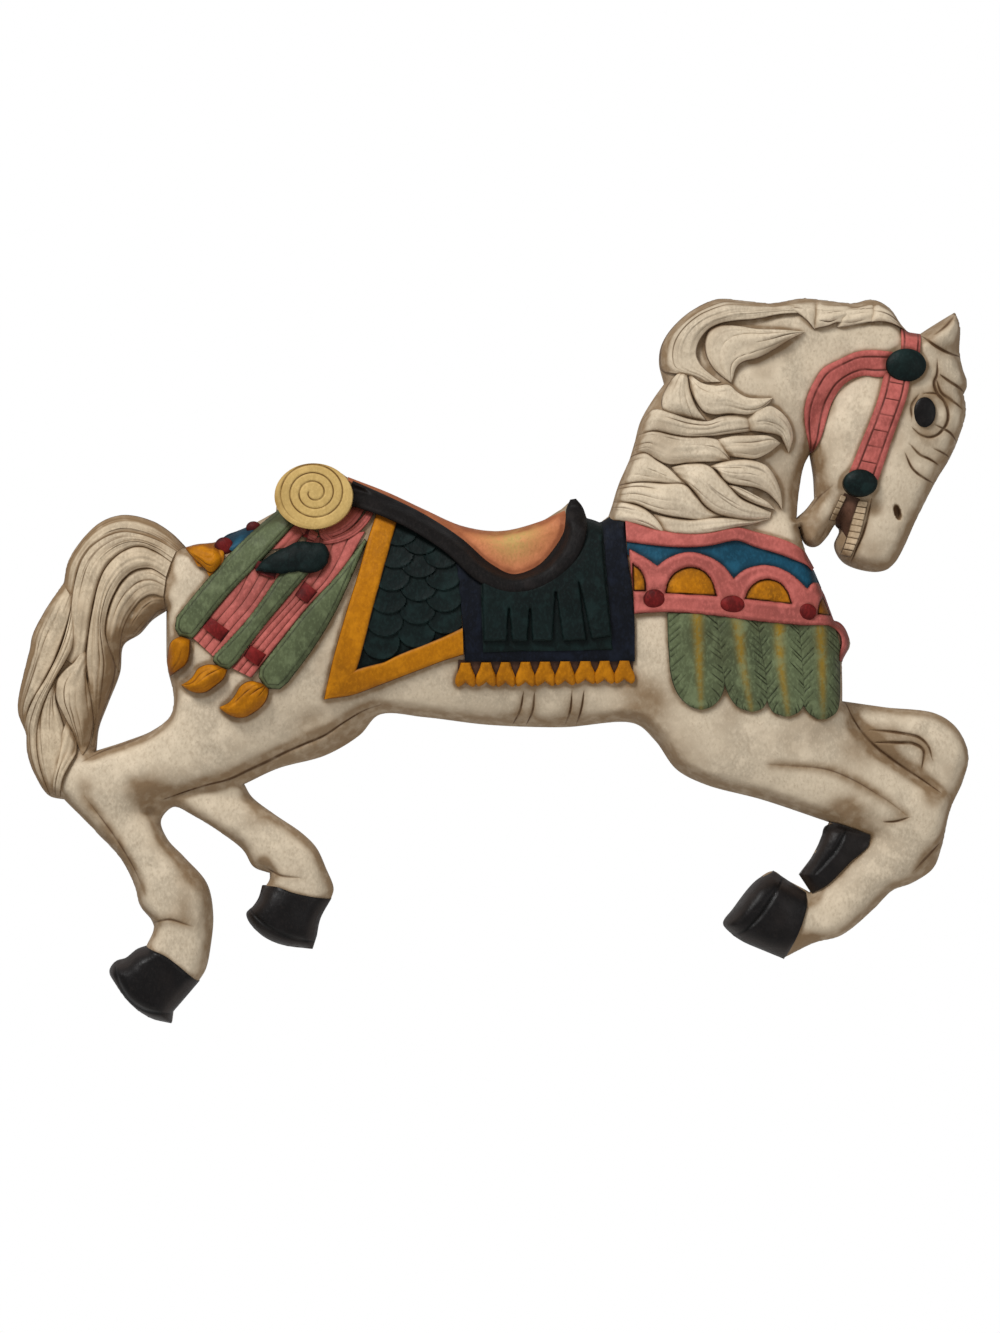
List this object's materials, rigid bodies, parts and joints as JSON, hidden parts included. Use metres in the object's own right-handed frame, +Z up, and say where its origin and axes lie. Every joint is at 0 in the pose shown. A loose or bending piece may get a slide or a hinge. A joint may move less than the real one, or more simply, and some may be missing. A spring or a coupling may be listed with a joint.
{
  "type": "carousel horse wall relief",
  "caption": "Leaping carousel horse in half relief with saddle and trappings, painted, flat at the back to hang on a wall.",
  "frame": {"origin": "on the flat back face, where the horse hangs against the wall, near the middle of its length", "axes": "+X along the horse towards its head, +Z up, +Y out of the flat back towards the wall, so the carving faces -Y"},
  "size_m": [0.7626, 0.054, 0.581],
  "materials": {
    "horse": "satin",
    "hair": "satin",
    "saddle": "satin",
    "seat": "satin",
    "saddle_cloth": "satin",
    "blanket": "satin",
    "gold": "satin",
    "bedroll": "satin",
    "sage": "satin",
    "rose": "satin",
    "crimson": "satin",
    "collar_blue": "satin",
    "feather": "satin",
    "hoof": "satin"
  },
  "bodies": {
    "root": {"horse": "horse"}
  },
  "joints": []
}
